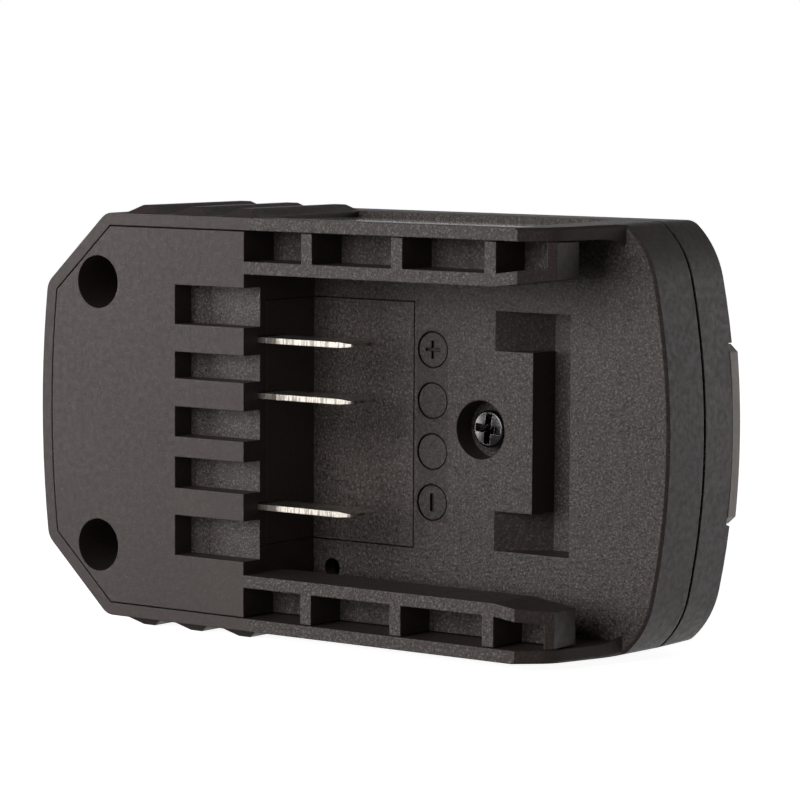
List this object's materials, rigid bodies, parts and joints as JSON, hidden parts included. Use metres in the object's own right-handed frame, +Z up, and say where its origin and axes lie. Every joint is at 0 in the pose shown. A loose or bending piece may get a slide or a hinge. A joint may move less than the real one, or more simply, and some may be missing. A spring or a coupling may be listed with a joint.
{
  "type": "power tool usb battery adapter",
  "caption": "Slide-on power tool battery adapter with a railed bay, blade terminals, catch pocket, power button and a hinged cover over USB sockets.",
  "frame": {"origin": "centre of the bounding box's underside; the adapter stands on the grip ribs of one long side", "axes": "+X along the slide, from the blunt end to the round end with the USB sockets; -Y is the battery face, +Y the back with the button and cover; +Z up across the width"},
  "size_m": [0.1223, 0.042, 0.0749],
  "materials": {
    "casing": "fine moulded grain, warm dark grey",
    "interface": "fine moulded grain, warm dark grey",
    "holder": "satin black-grey",
    "contact_metal": "nickel plated",
    "black_screw": "black, glossy",
    "steel": "bright zinc",
    "circuit_board": "green solder mask",
    "black_plastic": "moulded black",
    "ferrite": "pressed dark grey",
    "capacitor_can": "satin can",
    "aluminium_fins": "extruded",
    "fuse_body": "glazed",
    "lens": "milky, clear",
    "button": "satin",
    "flap": "pale warm grey, satin",
    "label": "bare glossy film",
    "socket_metal": "nickel plated",
    "socket_plastic": "moulded white",
    "gold_contact": "gold flash"
  },
  "bodies": {
    "adapter": {"lower_housing": "casing", "top_cover": "casing", "rail_frame": "interface", "terminal_holder": "holder", "blade_positive": "contact_metal", "blade_sense": "contact_metal", "blade_negative": "contact_metal", "centre_screw": "black_screw", "block_screws": "black_screw", "board_screws": "steel", "flap_pin": "steel", "main_board": "circuit_board", "usb_board": "circuit_board", "board_header": "black_plastic", "inductor": "ferrite", "input_capacitor": "capacitor_can", "output_capacitors": "capacitor_can", "switching_transistor": "black_plastic", "heat_sink": "aluminium_fins", "control_chip": "black_plastic", "input_fuse": "fuse_body", "status_led": "lens", "light_window": "lens", "switch_body": "black_plastic", "side_label": "label", "usb_shell_upper": "socket_metal", "usb_shell_lower": "socket_metal", "usb_insulator_upper": "socket_plastic", "usb_insulator_lower": "socket_plastic", "usb_contacts_upper": "gold_contact", "usb_contacts_lower": "gold_contact"},
    "power_button": {"power_button": "button", "switch_plunger": "black_plastic"},
    "usb_flap": {"usb_flap": "flap"}
  },
  "joints": [
    {"name": "button_press", "type": "slide", "parent": "adapter", "child": "power_button", "axis": [0, -1, 0], "range_m": [0, 0.0005], "stiffness_N_per_m": 1600, "springref_m": -0.0002},
    {"name": "flap_hinge", "type": "hinge", "parent": "adapter", "child": "usb_flap", "pos_m": [0.03985, 0.0198, 0.03745], "axis": [0, 0, 1], "range_deg": [0, 90]}
  ]
}
